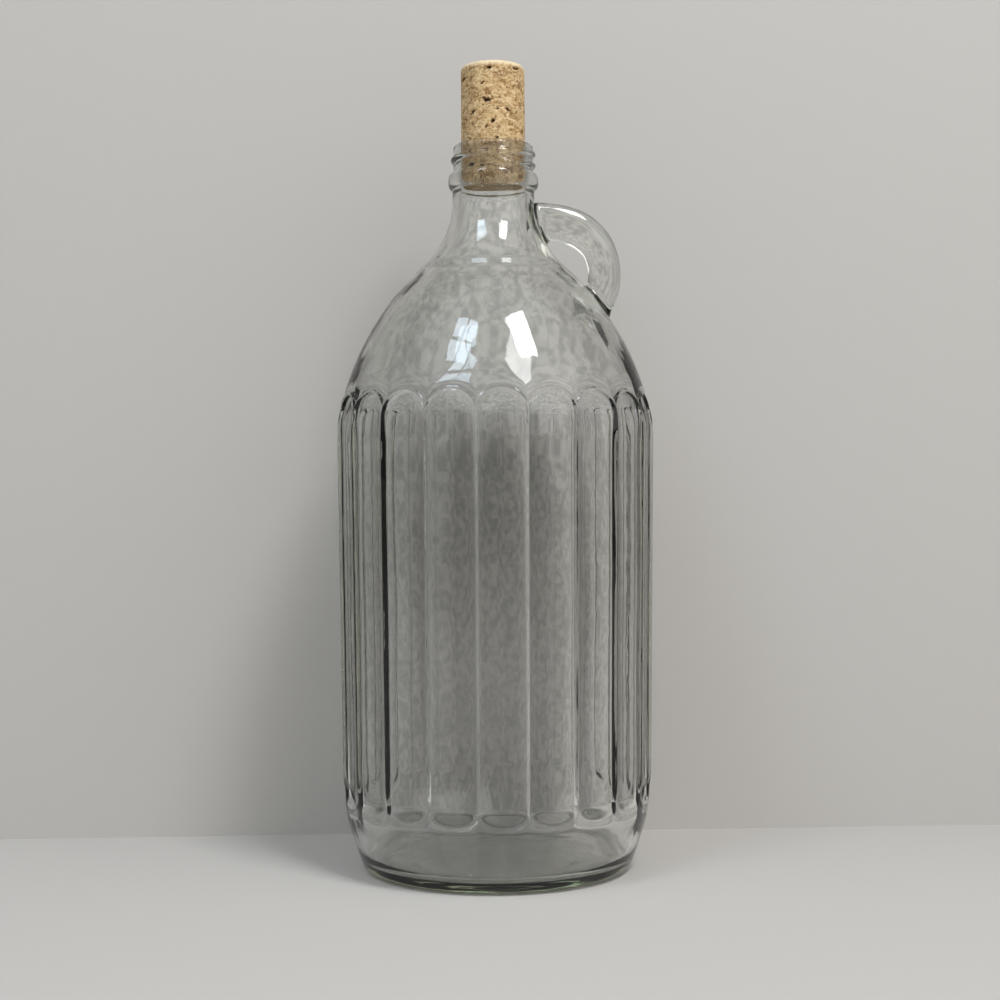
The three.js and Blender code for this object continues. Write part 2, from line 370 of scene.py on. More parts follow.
@dataclass(frozen=True)
class CorkFinish:
    """Pressed cork granules: each its own shade of tan, with brown seams and dark open pits."""

    light: Colour = (0.84, 0.63, 0.35)
    middle: Colour = (0.64, 0.42, 0.19)
    dark: Colour = (0.34, 0.18, 0.065)
    seam: Colour = (0.20, 0.095, 0.035)
    pit: Colour = (0.060, 0.022, 0.010)
    worn: Colour = (0.90, 0.76, 0.52)
    wave_scale: float = 900.0
    grain_scale: float = 3200.0
    grain_share: float = 0.8
    mottle_share: float = 0.9
    streak_scale: float = 520.0
    streak_flatness: float = 2.6
    streak_share: float = 2.3
    patch_scale: float = 170.0
    unbroken_seam: float = 0.20
    wear: float = 0.7
    roughness: float = 0.82
    relief_height: float = 0.0003

    def build(self, relief: bpy.types.NodeTree) -> Material:
        """The cork material, which reads the mesh's shade, seam, pit and worn attributes.

        Args:
            relief: The group that gives the height of fine relief.

        Returns:
            The new material.
        """
        material, nodes, shader, _ = new_material("pressed_cork")
        fine = nodes.add("ShaderNodeGroup", {
            "Wave Scale": self.wave_scale, "Grain Scale": self.grain_scale,
            "Grain Share": self.grain_share}, node_tree=relief)
        place = nodes.add("ShaderNodeTexCoord").outputs["Object"]
        flat = nodes.add("ShaderNodeMapping", {
            "Vector": place, "Scale": (1.0, 1.0, self.streak_flatness)})
        streak = nodes.add("ShaderNodeTexNoise", {
            "Vector": flat.outputs["Vector"], "Scale": self.streak_scale, "Detail": 4.0,
            "Roughness": 0.7}).outputs["Fac"]
        patch = nodes.add("ShaderNodeTexNoise", {
            "Vector": place, "Scale": self.patch_scale, "Detail": 2.0}).outputs["Fac"]
        shade, seam, pit, worn = (nodes.add("ShaderNodeAttribute", attribute_name=name).outputs["Fac"]
                                  for name in ("shade", "seam", "pit", "worn"))
        share = self.mottle_share
        mottle = nodes.math("MULTIPLY_ADD", fine.outputs["Mottle"], share, -0.5 * share)
        grain = nodes.math("MULTIPLY_ADD", streak, self.streak_share, -0.5 * self.streak_share)
        tone = nodes.math("ADD", shade, nodes.math("ADD", mottle, grain))
        colour = nodes.ramp(tone, ((0.05, self.dark), (0.45, self.middle), (0.95, self.light)))
        broken = nodes.ramp(patch, ((0.44, (0.0, 0.0, 0.0)), (0.60, (1.0, 1.0, 1.0))))
        kept = nodes.math("MULTIPLY_ADD", broken, 1.0 - self.unbroken_seam, self.unbroken_seam)
        gap = nodes.math("MULTIPLY", kept, seam)
        colour = nodes.mix(gap, colour, (*self.seam, 1.0))
        colour = nodes.mix(nodes.math("MULTIPLY", worn, self.wear), colour, (*self.worn, 1.0))
        colour = nodes.mix(pit, colour, (*self.pit, 1.0))
        nodes.feed(shader.inputs["Base Color"], colour)
        nodes.feed(shader.inputs["Roughness"], nodes.math("MULTIPLY_ADD", pit, 0.1, self.roughness))
        height = nodes.math("ADD", fine.outputs["Height"], streak)
        bump = nodes.add("ShaderNodeBump", {
            "Height": height, "Strength": 0.8, "Distance": self.relief_height})
        nodes.feed(shader.inputs["Normal"], bump.outputs["Normal"])
        return material


# ---- The glass jug ----


@dataclass
class GlassJug:
    """One piece of moulded glass: body, shoulder, neck, finish and ring handle. Sizes in mm.

    Points are (radius, height). Each flute's ends bend the rows between the heights of its bend.
    """

    height: float
    push_up: float = 4.5
    bearing_inner: float = 41.0
    bearing_outer: float = 46.5
    floor: float = 4.3
    heel_under: tuple[Point, ...] = ((50.2, 0.0), (50.4, 2.2))
    heel_corner: Point = (51.4, 4.6)
    heel_swell: tuple[Point, ...] = ((54.2, 12.0), (57.0, 21.0))
    heel_top: float = 33.0
    heel_radius: float = 57.9
    body_top: float = 160.0
    body_top_radius: float = 59.4
    kink_reach: float = 4.0
    cavity_heel: tuple[Point, ...] = ((50.0, 1.6), (50.8, 12.0))
    cavity_heel_top: float = 26.0
    cavity_low_radius: float = 53.1
    cavity_top_radius: float = 54.2
    neck_radius: float = 15.4
    flare_top: float = 251.0
    flare_arc: float = 35.0
    dome_arc: float = 104.0
    turn_over: float = math.radians(47.5)
    dome_foot: float = math.radians(10.5)
    shoulder_wall: float = 3.8
    neck_wall: float = 3.1
    flutes: int = 20
    flute_depth: float = 2.7
    arch_cusp: float = 168.6
    arch_rise: float = 7.8
    foot_cusp: float = 31.0
    foot_drop: float = 5.3
    arch_bend: Point = (115.0, 204.0)
    foot_bend: Point = (8.0, 75.0)
    arch_softness: float = 0.15
    foot_softness: float = 0.55
    ridge_roundness: float = 0.025
    arch_roundness: float = 0.10
    foot_roundness: float = 0.45
    rim_height: float = 0.38
    rim_width: float = 0.13
    inside_roundness: float = 0.5
    inside_share: float = 0.78
    bore_radius: float = 12.3
    finish_root: float = 15.0
    bead_bottom: float = 254.1
    bead_top: float = 260.4
    bead_radius: float = 17.0
    lip_outer: float = 1.3
    lip_inner: float = 0.8
    thread_pitch: float = 25.4 / 6.0
    thread_turns: float = 1.5
    thread_start: float = 262.1
    thread_start_angle: float = math.radians(-96.0)
    thread_height: float = 0.98
    thread_half_width: float = 1.25
    dimples: tuple[tuple[float, ...], ...] = ((240.4, 15.0, 4.6, 3.4, 1.9), (203.0, 40.0, 5.2, 3.8, 2.5))

    def __post_init__(self) -> None:
        """Works out the centres of the flare's and the dome's arcs, which meet with one slope."""
        self.flare_centre = (self.neck_radius + self.flare_arc, self.flare_top)
        reach = self.flare_arc + self.dome_arc
        self.dome_centre = (self.flare_centre[0] - reach * math.cos(self.turn_over),
                            self.flare_centre[1] - reach * math.sin(self.turn_over))
        self.outline = self.outer_outline()

    def shoulder(self, dome_wall: float, neck_wall: float) -> Array:
        """Outline of the shoulder, the dome's arc and then the flare's, inside its outer face.

        Args:
            dome_wall: How far inside the dome's outer face it lies.
            neck_wall: The same for the flare.

        Returns:
            Points from the foot of the dome up to the neck.
        """
        dome = arc(self.dome_centre, self.dome_arc - dome_wall, self.dome_foot, self.turn_over, 160)
        start = math.pi + self.turn_over
        flare = arc(self.flare_centre, self.flare_arc + neck_wall, start, math.pi, 90)
        return np.vstack([dome, flare])

    def outer_outline(self) -> Array:
        """Outline from the bearing ring to the bead, with no flutes, as (radius, height).

        Returns:
            Points from the edge of the bearing ring up.
        """
        foot = (self.dome_centre[0] + self.dome_arc * math.cos(self.dome_foot),
                self.dome_centre[1] + self.dome_arc * math.sin(self.dome_foot))
        ring = (self.bearing_outer, 0.0)
        top = (self.body_top_radius, self.body_top)
        above = (self.body_top_radius, self.body_top + self.kink_reach)
        return np.vstack([
            np.array([ring]),
            bezier([ring, *self.heel_under, self.heel_corner], 24),
            bezier([self.heel_corner, *self.heel_swell, (self.heel_radius, self.heel_top)], 60),
            np.array([top]),
            bezier([top, above, foot], 24)[:-1],
            self.shoulder(0.0, 0.0),
            np.array([(self.neck_radius, self.bead_bottom)]),
        ])

    def outer_radius(self, height: Array) -> Array:
        """Radius of the outer face at a height, with no flutes."""
        return np.interp(height, self.outline[:, 1], self.outline[:, 0])

    def columns(self) -> Array:
        """Angles of the mesh's columns, closer together towards the ridges between flutes.

        Returns:
            The angles in order, the same ones for every flute.
        """
        half = np.array([0.0, 0.22, 0.42, 0.60, 0.75, 0.86, 0.93, 0.975])
        across = np.concatenate([[-1.0], -half[:0:-1], half])
        flute = np.arange(self.flutes)[:, None]
        return ((flute + 0.5 * across[None, :]) * TURN / self.flutes).ravel()

    def across_flute(self, angle: Array) -> Array:
        """0 on the centre line of a flute and 1 on the ridges beside it."""
        turns = angle * self.flutes / TURN
        return np.abs(2.0 * (turns - np.round(turns)))

    def flute_depth_at(self, angle: Array, height: Array, extra_roundness: float = 0.0) -> Array:
        """How deep a flute is pressed in at points of the wall.

        With u the share of the way across and v that of the way into an end, the depth is d times
        1 - u^2 - v^2, so either end is half an ellipse. To round the edges, the share s of the
        depth becomes (s + sqrt(s^2 + w^2)) / 2. The ridges are the crispest edges, and the feet
        are the softest.

        Args:
            angle: Angle of each point about the jug's axis.
            height: Height of each point.
            extra_roundness: Added to the w of the formula, for softer edges.

        Returns:
            The depth of each point below the unfluted wall, in mm.
        """
        across = self.across_flute(angle)
        into_arch = soft_positive((height - self.arch_cusp) / self.arch_rise, self.arch_softness)
        into_foot = soft_positive((self.foot_cusp - height) / self.foot_drop, self.foot_softness)
        share = 1.0 - across**2 - into_arch**2 - into_foot**2
        at_arch = smooth_step(0.0, 0.4, into_arch)
        at_foot = smooth_step(-1.0, 0.4, (self.foot_cusp - height) / self.foot_drop)
        roundness = (self.ridge_roundness + self.arch_roundness * at_arch
                     + self.foot_roundness * at_foot + extra_roundness)
        rounded = soft_positive(share, roundness)
        far = smooth_step(2.4, 1.5, into_arch) * smooth_step(2.4, 1.5, into_foot)
        return self.flute_depth * rounded * far

    def arch_rim(self, angle: Array, height: Array) -> Array:
        """How far the rim along an arch swells, a bell exp(-(s / w)^2) of the flute's share s.

        It fades out along the ridge below the cusp between two arches.

        Args:
            angle: Angle of each point about the jug's axis.
            height: Height of each point.

        Returns:
            The swelling of each point.
        """
        up = (height - self.arch_cusp) / self.arch_rise
        share = 1.0 - self.across_flute(angle) ** 2 - np.maximum(up, 0.0) ** 2
        return self.rim_height * np.exp(-((share / self.rim_width) ** 2)) * smooth_step(-0.9, 0.15, up)

    def fluted(self, angle: Array, height: Array) -> tuple[Array, Array]:
        """Presses the flutes into the body, whose rows are bent to follow the flutes' ends.

        A row moves by the rise of the arch, or the drop of the foot, at each angle, a parabola
        1 - u^2 across the flute, times a share that fades away from them.

        Args:
            angle: Angle of each point about the jug's axis.
            height: Height of each point's row before it is bent.

        Returns:
            The radius and the height of each point.
        """
        inward = 1.0 - self.across_flute(angle) ** 2
        top, foot = self.arch_row, self.foot_row
        share = [0.0, 1.0, 1.0, 0.0]
        arches = [self.arch_bend[0], top - self.arch_rise, top + 4.0, self.arch_bend[1]]
        feet = [self.foot_bend[0], foot - 3.0, foot + self.foot_drop, self.foot_bend[1]]
        up, down = np.interp(height, arches, share), np.interp(height, feet, share)
        bent = height + up * self.arch_rise * (inward - 0.5) - down * self.foot_drop * (inward - 0.5)
        swell = self.arch_rim(angle, bent)
        return self.outer_radius(bent) - self.flute_depth_at(angle, bent) + swell, bent

    @property
    def arch_row(self) -> float:
        """Height of the row that is bent to run along the arches."""
        return self.arch_cusp + 0.5 * self.arch_rise

    @property
    def foot_row(self) -> float:
        """Height of the row that is bent to run along the feet of the flutes."""
        return self.foot_cusp - 0.5 * self.foot_drop

    def body_rows(self) -> Array:
        """Heights of the body's rows, close together where it turns or a flute ends.

        Returns:
            The heights, before the rows are bent.
        """
        top, foot = self.arch_row, self.foot_row
        return np.concatenate([
            np.linspace(0.0, self.heel_corner[1], 9)[1:],
            np.linspace(self.heel_corner[1] + 1.0, foot - 3.5, 10),
            np.linspace(foot - 2.8, foot + 5.6, 18),
            np.linspace(42.0, top - 15.0, 12),
            np.linspace(top - 9.5, top + 4.0, 36),
            np.linspace(180.0, self.flare_top, 36),
        ])

    def thread(self, angle: Array, height: Array) -> Array:
        """How far the thread stands proud: a steep cosine ridge along a right-hand helix.

        A point's distance from a turn is its height less the helix's at its angle. The ridge fades
        out near both ends of the thread.

        Args:
            angle: Angle of each point about the jug's axis.
            height: Height of each point.

        Returns:
            The thread's height over the finish at each point.
        """
        proud = np.zeros(np.broadcast(angle, height).shape)
        start = (angle - self.thread_start_angle) % TURN
        for turn in range(math.ceil(self.thread_turns)):
            along = (start + turn * TURN) / (self.thread_turns * TURN)
            middle = self.thread_start + along * self.thread_turns * self.thread_pitch
            off = np.clip(np.abs(height - middle) / self.thread_half_width, 0.0, 1.0)
            fade = smooth_step(0.0, 0.06, along) * smooth_step(0.0, 0.06, 1.0 - along)
            ridge = np.cos(0.5 * math.pi * off) ** 0.75 * self.thread_height
            proud = np.maximum(proud, ridge * fade)
        return proud

    def finish_outline(self) -> Array:
        """Outline from the bead over the lip to the bore, as (radius, height).

        Returns:
            Points from the bead's lower edge to the bore.
        """
        middle = 0.5 * (self.bead_bottom + self.bead_top)
        half = 0.5 * (self.bead_top - self.bead_bottom)
        turn = np.linspace(-0.5 * math.pi, 0.5 * math.pi, 18)
        proud = self.bead_radius - self.finish_root
        bead_r = self.finish_root + proud * np.cos(turn) ** 0.65
        bead = np.stack([bead_r, middle + half * np.sin(turn)], axis=1)
        bead[0] = (self.neck_radius, self.bead_bottom - 0.4)
        top, outer, inner = self.height, self.lip_outer, self.lip_inner
        wall_z = np.linspace(self.bead_top + 0.3, top - outer, 26)
        wall = np.stack([np.full_like(wall_z, self.finish_root), wall_z], axis=1)
        outer_lip = arc((self.finish_root - outer, top - outer), outer, 0.0, 0.5 * math.pi, 8)[1:]
        inner_lip = arc((self.bore_radius + inner, top - inner), inner, 0.5 * math.pi, math.pi, 7)
        return np.vstack([bead, wall, outer_lip, inner_lip])

    def cavity_outline(self) -> Array:
        """Outline of the hollow from the top of the bore down to the floor, as (radius, height).

        Returns:
            Points from the bore to near the axis.
        """
        floor = self.push_up + self.floor
        edge = (self.bearing_inner, self.floor + 0.4)
        low = self.cavity_heel_top
        rise = [edge, *self.cavity_heel, (self.cavity_low_radius, low)]
        wall_z = np.linspace(self.body_top - 2.0, low + 4.0, 30)
        wall = np.interp(wall_z, [low, self.body_top], [self.cavity_low_radius, self.cavity_top_radius])
        shoulder = self.shoulder(self.shoulder_wall, self.neck_wall)[::-1]
        keep = np.linspace(0, len(shoulder) - 1, 42).astype(int)
        bore = np.linspace(self.height - 2.0, self.flare_top + 0.5, 6)
        return np.vstack([
            np.stack([np.full(6, self.bore_radius), bore], axis=1),
            shoulder[keep],
            np.stack([wall, wall_z], axis=1),
            bezier(rise[::-1], 18),
            bezier([edge, (self.bearing_inner * 0.6, floor), (0.0, floor)], 10)[:-1],
        ])

    def blown_unevenness(self, angle: Array, height: Array) -> Array:
        """How far the hollow's wall strays outwards, in mm.

        Blown glass follows its mould on the inside too, so between flutes the wall moves out by a
        share of the depth that it lacks there. Slow sine waves round and along the body come on
        top, and so do the two dimples where the handle's roots drew the glass outwards. A dimple
        is given by its height, the wall's radius there, its half height, half width and depth.

        Args:
            angle: Angle of each point about the jug's axis.
            height: Height of each point.

        Returns:
            What to add to the radius of the round hollow at each point.
        """
        calm = smooth_step(4.0, 30.0, height) * (1.0 - smooth_step(236.0, 250.0, height))
        waves = (0.13 * np.sin(3 * angle + 0.031 * height) * np.sin(0.052 * height + 1.1)
                 + 0.08 * np.sin(5 * angle - 0.083 * height + 0.7)
                 + 0.05 * np.sin(11 * angle + 0.21 * height) * np.sin(0.11 * height)
                 + 0.03 * np.sin(7 * angle + 0.9) * np.sin(0.45 * height))
        lacking = self.flute_depth - self.flute_depth_at(angle, height, self.inside_roundness)
        near = smooth_step(10.0, 30.0, height) * (1.0 - smooth_step(166.0, 196.0, height))
        follow = self.inside_share * np.maximum(lacking, 0.0) * near
        side = np.arctan2(np.sin(angle), np.cos(angle))
        dimples = np.zeros(np.broadcast(angle, height).shape)
        for place, radius, tall, wide, deep in self.dimples:
            off = np.sqrt(((height - place) / tall) ** 2 + (side * radius / wide) ** 2)
            dimples += deep * (1.0 - smooth_step(0.35, 1.1, off))
        return calm * waves + follow + dimples

    def shell_rings(self) -> tuple[Array, Array, Array]:
        """The rings of the whole shell, from under the base, up, over the lip and down inside.

        Returns:
            The rings in metres, and the points on the axis that close them at either end.
        """
        angle = self.columns()[None, :]
        under = bezier([(0.0, self.push_up), (self.bearing_inner * 0.6, self.push_up),
                        (self.bearing_inner, 0.0)], 9)
        ring = np.array([[43.0, 0.0], [45.0, 0.0], [self.bearing_outer, 0.0]])
        heights = self.body_rows()[:, None]
        body_r, body_z = self.fluted(angle, heights)
        finish = self.finish_outline()
        outside = finish[:, :1] > 0.5 * (self.bore_radius + self.finish_root)
        finish_r = finish[:, :1] + self.thread(angle, finish[:, 1:]) * outside
        hollow = self.cavity_outline()
        hollow_r = hollow[:, :1] + self.blown_unevenness(angle, hollow[:, 1:])

        wide = np.ones_like(angle)
        base = np.vstack([under, ring])
        radius = np.vstack([base[:, :1] * wide, body_r, finish_r, hollow_r])
        height = np.vstack([base[:, 1:] * wide, body_z, finish[:, 1:] * wide, hollow[:, 1:] * wide])
        rings = np.stack([radius * np.cos(angle), radius * np.sin(angle), height], axis=-1) * MM
        first = np.array([0.0, 0.0, self.push_up]) * MM
        last = np.array([0.0, 0.0, self.push_up + self.floor]) * MM
        return rings, first, last

    def build(self, finish: Material) -> Object:
        """Makes the shell, joins the ring handle to it, and dresses it.

        Args:
            finish: The glass.

        Returns:
            The whole jug as one object.
        """
        rings, first, last = self.shell_rings()
        jug = closed_mesh("jug_glass", rings, first, last)
        handle = RingHandle(self).build()
        join(jug, handle)
        jug.data.materials.append(finish)
        return jug


@dataclass
class RingHandle:
    """The one-finger ring handle: a rounded strap swept from the neck to the shoulder, in mm."""

    jug: GlassJug
    thickness: float = 9.6
    squareness: float = 2.5
    fillet: float = 2.6
    steps: int = 72
    columns: int = 44
    root_depth: float = 0.9
    streak_height: float = 0.075
    line: tuple[tuple[float, float, float], ...] = (
        (17.0, 242.3, 14.5), (25.5, 241.6, 13.9), (33.2, 238.7, 13.4), (39.0, 232.9, 12.5),
        (41.6, 225.2, 12.2), (41.3, 217.8, 12.2), (39.4, 211.3, 11.0), (36.8, 205.0, 10.4),
    )

    def rings(self) -> Array:
        """Rings of the handle, in mm.

        Each ring is a superellipse |x/a|^n + |y/b|^n = 1 square to the centre line, where a is
        half the width there. Near the jug's wall it grows by f - sqrt(f^2 - (f - d)^2), a fillet
        of radius f, where d is a point's distance from the wall. The end rings lie a little way
        inside the wall. Low waves round the ring, which drift slowly along it, are the streaks of
        drawn glass.

        Returns:
            Points of shape (steps + 2, columns, 3), from the neck to the shoulder.
        """
        path = catmull_rom(np.array(self.line), self.steps)
        centre, width = path[:, :2], path[:, 2:]
        along = np.gradient(centre, axis=0)
        along /= np.linalg.norm(along, axis=1, keepdims=True)
        outward = np.stack([-along[:, 1], along[:, 0]], axis=1)
        turn = np.linspace(0.0, TURN, self.columns, endpoint=False)
        power = 2.0 / self.squareness
        flat = np.sign(np.cos(turn)) * np.abs(np.cos(turn)) ** power
        side = np.sign(np.sin(turn)) * np.abs(np.sin(turn)) ** power
        normal = np.stack([np.cos(turn), np.sin(turn)])
        way = np.linspace(0.0, 1.0, self.steps)[:, None]
        broad = np.sin(9 * turn + 1.6 * np.sin(5.0 * way)) * np.sin(14.0 * way + 2 * turn)
        narrow = 0.7 * np.sin(15 * turn - 2.5 * way)
        streaks = self.streak_height * (broad + narrow) * np.sin(math.pi * way)

        def placed(out: Array) -> tuple[Array, Array]:
            """The X and Z of points that far out from the centre line, in the handle's plane."""
            return centre[:, :1] + outward[:, :1] * out, centre[:, 1:] + outward[:, 1:] * out

        in_plane = 0.5 * width * flat
        across = 0.5 * self.thickness * np.ones_like(width) * side
        for _ in range(2):
            x, z = placed(in_plane)
            gap = self.wall_gap(x, across, z)
            near = np.clip(self.fillet - np.maximum(gap, 0.0), 0.0, self.fillet)
            grown = self.fillet - np.sqrt(np.maximum(self.fillet**2 - near**2, 0.0))
            in_plane = 0.5 * width * flat + (grown + streaks) * normal[0]
            across = 0.5 * self.thickness * side + (grown + streaks) * normal[1]
        x, z = placed(in_plane)
        rings = np.stack([x, across, z], axis=-1)
        return np.vstack([self.at_neck(rings[0])[None], rings, self.at_shoulder(rings[-1])[None]])

    def wall_gap(self, x: Array, y: Array, z: Array) -> Array:
        """Distance of points from the jug's outer face, from their radial distance and its slope.

        Args:
            x: Their X.
            y: Their Y.
            z: Their Z.

        Returns:
            The distance of each, below 0 inside the jug.
        """
        step = 0.5
        slope = (self.jug.outer_radius(z + step) - self.jug.outer_radius(z - step)) / (2.0 * step)
        return (np.hypot(x, y) - self.jug.outer_radius(z)) / np.sqrt(1.0 + slope**2)

    def at_neck(self, ring: Array) -> Array:
        """Moves a ring along X until it lies just inside the neck's outer face.

        Args:
            ring: Its points, of shape (columns, 3).

        Returns:
            The moved points.
        """
        inside = self.jug.outer_radius(ring[:, 2]) - self.root_depth
        x = np.sqrt(np.maximum(inside**2 - ring[:, 1] ** 2, 0.0))
        return np.stack([x, ring[:, 1], ring[:, 2]], axis=1)

    def at_shoulder(self, ring: Array) -> Array:
        """Lowers a ring along Z until it lies just inside the shoulder's outer face.

        Args:
            ring: Its points, of shape (columns, 3).

        Returns:
            The moved points.
        """
        heights = np.linspace(150.0, 250.0, 2001)
        radii = self.jug.outer_radius(heights)
        wanted = np.hypot(ring[:, 0], ring[:, 1])
        z = np.interp(-wanted, -radii, heights) - self.root_depth * 1.3
        return np.stack([ring[:, 0], ring[:, 1], z], axis=1)

    def build(self) -> Object:
        """Makes the handle as a closed mesh whose ends lie inside the wall.

        Returns:
            The handle, before it is joined to the jug.
        """
        rings = self.rings()[:, ::-1] * MM
        first = rings[0].mean(axis=0)
        last = rings[-1].mean(axis=0)
        return closed_mesh("handle_blank", rings, first, last)


def join(target: Object, addition: Object) -> None:
    """Adds one closed mesh to another as a solid union, and removes the one that was added.

    Args:
        target: The object that becomes the union.
        addition: The object that is added and removed.
    """
    union = target.modifiers.new("union", "BOOLEAN")
    union.operation = "UNION"
    union.solver = "MANIFOLD"
    union.object = addition
    depsgraph = bpy.context.evaluated_depsgraph_get()
    joined = bpy.data.meshes.new_from_object(target.evaluated_get(depsgraph))
    target.modifiers.remove(union)
    old = target.data
    target.data = joined
    bpy.data.meshes.remove(old)
    bpy.data.objects.remove(addition)
    joined.materials.clear()
    joined.polygons.foreach_set("material_index", np.zeros(len(joined.polygons), dtype=np.int32))
    joined.polygons.foreach_set("use_smooth", np.ones(len(joined.polygons), dtype=bool))


# ---- The cork ----


@dataclass
class CorkStopper:
    """A straight cork of pressed granules, with rounded ends and open pits. Sizes in mm."""

    radius: float
    bottom: float
    top: float
    low_edge: float = 1.4
    top_edge: float = 2.3
    granule: float = 1.25
    flatness: float = 1.35
    columns: int = 260
    row: float = 0.29
    skin: float = 2.2
    bends: int = 9
    bend_lengths: Point = (0.9, 3.2)
    bend_push: float = 0.13
    seam_width: float = 0.26
    seam_depth: float = 0.09
    shade_depth: float = 0.06
    pit_depth: float = 0.85
    pits: int = 52
    pit_tilt: float = 0.55
    small_pit: Point = (0.5, 1.1)
    large_pit: Point = (1.2, 2.2)
    pit_slimness: Point = (0.3, 0.62)
    batch: int = 3000
    seed: int = 4

    def outline(self) -> Array:
        """Outline from the middle of the lower end to the middle of the upper one.

        Returns:
            Points as (radius, height).
        """
        low, high = self.radius - self.low_edge, self.radius - self.top_edge
        under = np.linspace(0.02, 1.0, 26) * low
        over = np.linspace(1.0, 0.02, 30) * high
        steps = int((self.top - self.bottom) / self.row)
        wall = np.linspace(self.bottom + self.low_edge, self.top - self.top_edge, steps)
        quarter = 0.5 * math.pi
        low_turn = arc((low, self.bottom + self.low_edge), self.low_edge, -quarter, 0.0, 7)[1:-1]
        top_turn = arc((high, self.top - self.top_edge), self.top_edge, 0.0, quarter, 12)[1:-1]
        return np.vstack([
            np.stack([under, np.full_like(under, self.bottom)], axis=1), low_turn,
            np.stack([np.full_like(wall, self.radius), wall], axis=1), top_turn,
            np.stack([over, np.full_like(over, self.top)], axis=1),
        ])

    def bent(self, points: Array, rng: np.random.Generator) -> Array:
        """Moves points by sine waves in seeded directions, so that borders aren't straight.

        Args:
            points: Points of shape (n, 3).
            rng: The seeded source of the waves.

        Returns:
            The moved points.
        """
        moved = points.copy()
        for _ in range(self.bends):
            wave = rng.normal(0.0, 1.0, 3)
            wave *= TURN / rng.uniform(*self.bend_lengths) / np.linalg.norm(wave)
            push = rng.normal(0.0, self.bend_push, 3)
            moved += np.sin(points @ wave + rng.uniform(0.0, TURN))[:, None] * push
        return moved

    def granules(self, points: Array, rng: np.random.Generator) -> tuple[Array, Array]:
        """The granule that each surface point belongs to, by nearest seed.

        Args:
            points: Surface points of shape (n, 3).
            rng: The seeded source of the granules' places and shades.

        Returns:
            Each point's seam, 1 on the border between two granules and 0 inside one, from the gap
            between its two nearest seeds, and the shade of its granule from 0 to 1.
        """
        tall = self.top - self.bottom
        count = int(math.pi * self.radius**2 * tall * self.flatness / self.granule**3)
        spot = np.sqrt(rng.uniform(0.0, 1.0, count)) * (self.radius + 0.4)
        turn = rng.uniform(0.0, TURN, count)
        up = rng.uniform(-0.02, 1.02, count) * tall
        near_end = np.minimum(up, tall - up) < 2.0
        kept = (spot > self.radius - self.skin) | near_end
        seeds = np.stack([spot * np.cos(turn), spot * np.sin(turn), self.bottom + up], axis=1)[kept]
        shades = rng.beta(2.6, 1.6, len(seeds))
        scale = np.array([1.0, 1.0, self.flatness])
        here = (self.bent(points, rng) * scale).astype(np.float32)
        there = (seeds * scale).astype(np.float32)
        size = (there**2).sum(axis=1)
        nearest = np.empty(len(points), dtype=int)
        border = np.empty(len(points), dtype=np.float32)
        for start in range(0, len(points), self.batch):
            part = slice(start, start + self.batch)
            apart = size[None, :] - 2.0 * here[part] @ there.T
            two = np.argpartition(apart, 1, axis=1)[:, :2]
            ends = np.take_along_axis(apart, two, axis=1) + (here[part] ** 2).sum(axis=1)[:, None]
            ends = np.sqrt(np.maximum(ends, 0.0))
            nearest[part] = np.take_along_axis(two, ends.argmin(axis=1)[:, None], axis=1)[:, 0]
            border[part] = np.abs(ends[:, 1] - ends[:, 0])
        return 1.0 - smooth_step(0.0, self.seam_width, border), shades[nearest]

    def open_pits(self, points: Array, rng: np.random.Generator) -> Array:
        """How deep in a pit each point lies, from 0 to 1.

        A pit is a small tilted lens on the surface: 1 - |x/a|^1.5 - |z/b|^1.5 of its length a and
        width b, turned by its own angle. Most are short and nearly level, a few are large.

        Args:
            points: Surface points of shape (n, 3).
            rng: The seeded source of the pits' places and shapes.

        Returns:
            The depth of each point.
        """
        deep = np.zeros(len(points))
        tall = self.top - self.bottom
        angle = np.arctan2(points[:, 1], points[:, 0])
        end = (points[:, 2] < self.bottom + 0.2) | (points[:, 2] > self.top - 0.2)
        for number in range(self.pits):
            turn, up = rng.uniform(0.0, TURN), rng.uniform(0.03, 0.97) * tall
            tilt = rng.normal(0.0, self.pit_tilt)
            length = rng.uniform(*(self.small_pit if number > self.pits // 4 else self.large_pit))
            width = length * rng.uniform(*self.pit_slimness)
            x = np.angle(np.exp(1j * (angle - turn))) * self.radius
            z = points[:, 2] - self.bottom - up
            along = x * math.cos(tilt) + z * math.sin(tilt)
            across = z * math.cos(tilt) - x * math.sin(tilt)
            shape = 1.0 - np.abs(along / length) ** 1.5 - np.abs(across / width) ** 1.5
            deep = np.maximum(deep, np.where(end, 0.0, smooth_step(0.0, 0.45, shape)))
        return deep

    def build(self, finish: Material) -> Object:
        """Makes the cork: a turned surface sunk along its seams and pits.

        Args:
            finish: The cork's material.

        Returns:
            The cork, with its seam, shade, pit and worn attributes.
        """
        rng = np.random.default_rng(self.seed)
        outline = self.outline()
        slope = np.gradient(outline, axis=0)
        slope /= np.linalg.norm(slope, axis=1, keepdims=True)
        outward = np.stack([slope[:, 1], -slope[:, 0]], axis=1)
        angle = np.linspace(0.0, TURN, self.columns, endpoint=False)[None, :]
        around = np.stack([np.cos(angle), np.sin(angle)], axis=-1)

        def turned(profile: Array) -> Array:
            """Carries a (radius, height) profile round the axis.

            Args:
                profile: Points of shape (rows, 2).

            Returns:
                Points of shape (rows, columns, 3).
            """
            flat = profile[:, :1, None] * around
            tall = np.broadcast_to(profile[:, 1:, None], (*flat.shape[:2], 1))
            return np.concatenate([flat, tall], axis=2)

